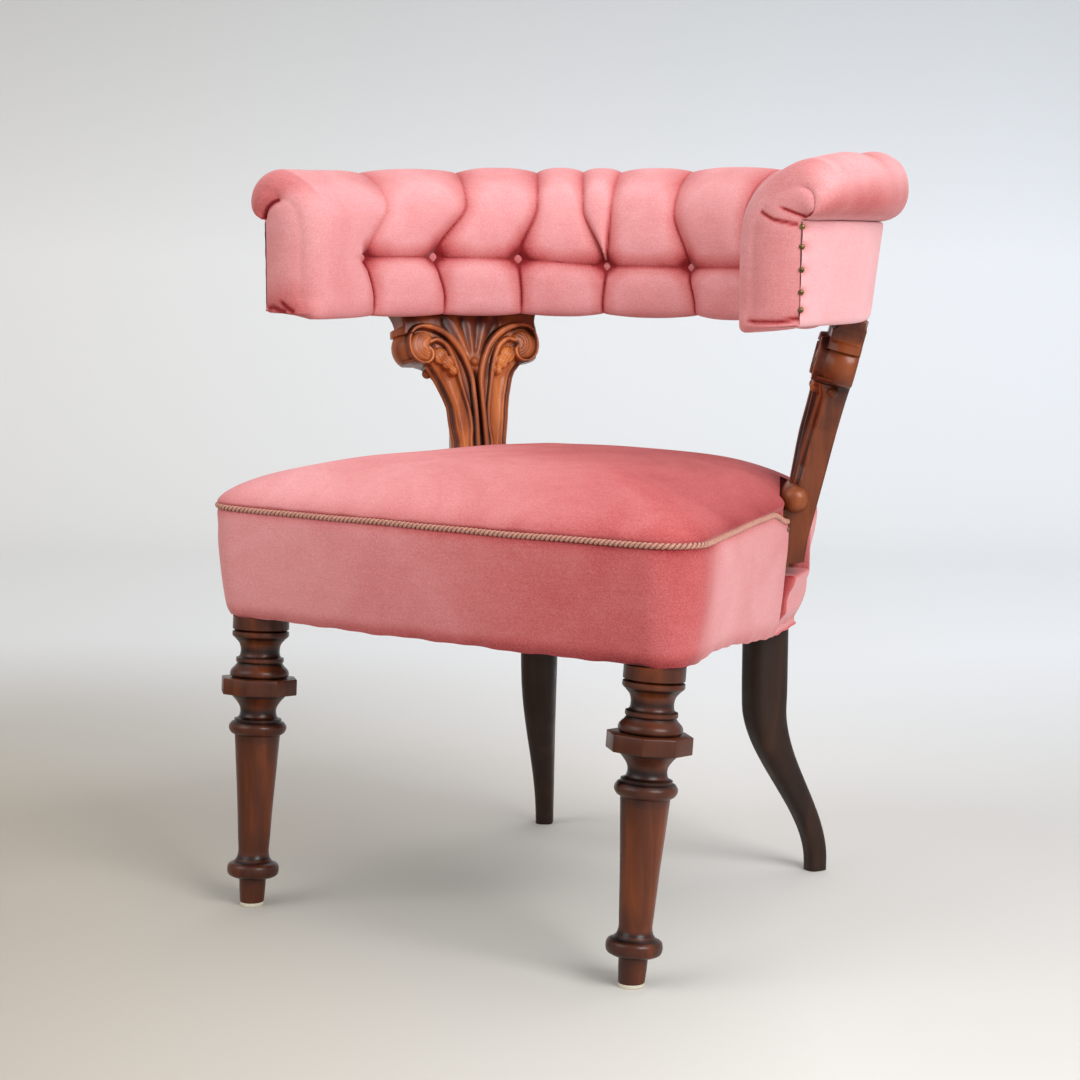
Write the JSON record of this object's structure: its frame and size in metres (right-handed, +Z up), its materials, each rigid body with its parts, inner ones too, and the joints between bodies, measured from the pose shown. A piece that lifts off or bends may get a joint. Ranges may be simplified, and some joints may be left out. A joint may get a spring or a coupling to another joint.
{
  "type": "upholstered armchair",
  "caption": "Low library chair with a button-tufted horseshoe back on carved uprights, a corded velvet seat, turned front legs and sabre rear legs.",
  "frame": {"origin": "on the floor, under the middle of the chair's bounding box", "axes": "+Z up, the chair faces -Y, +X to the right of someone who looks along +Y"},
  "size_m": [0.696, 0.5876, 0.76],
  "materials": {
    "walnut": "satin",
    "walnut_dark": "satin",
    "beech": "matte",
    "velvet": "matte",
    "cord_trim": "matte",
    "brass": "aged",
    "felt": "matte",
    "jute": "matte",
    "hessian": "matte",
    "spring_steel": "satin",
    "black_cloth": "matte"
  },
  "bodies": {
    "root": {"front_leg_left": "walnut", "front_leg_right": "walnut", "front_glide_left": "felt", "front_glide_right": "felt", "rear_leg_left": "walnut_dark", "rear_leg_right": "walnut_dark", "upright_left": "walnut", "upright_right": "walnut", "front_rail": "beech", "left_rail": "beech", "right_rail": "beech", "back_rail": "beech", "front_corner_posts": "beech", "rear_corner_posts": "beech", "rail_dowels": "beech", "tail_screws": "spring_steel", "capital_screws": "spring_steel", "webbing_lengthwise": "jute", "webbing_crosswise": "jute", "seat_springs": "spring_steel", "spring_hessian": "hessian", "dust_cover": "black_cloth", "seat_cushion": "velvet", "seat_band": "velvet", "rear_band": "velvet", "seat_cord": "cord_trim", "cord_tacks": "brass", "bow_lower_rail": "beech", "bow_upper_rail": "beech", "bow_posts": "beech", "bow_lining": "hessian", "bow_under_cover": "velvet", "back_pad": "velvet", "back_buttons": "velvet", "outer_panel": "velvet", "arm_facing_left": "velvet", "arm_facing_right": "velvet", "facing_tacks": "brass"}
  },
  "joints": []
}
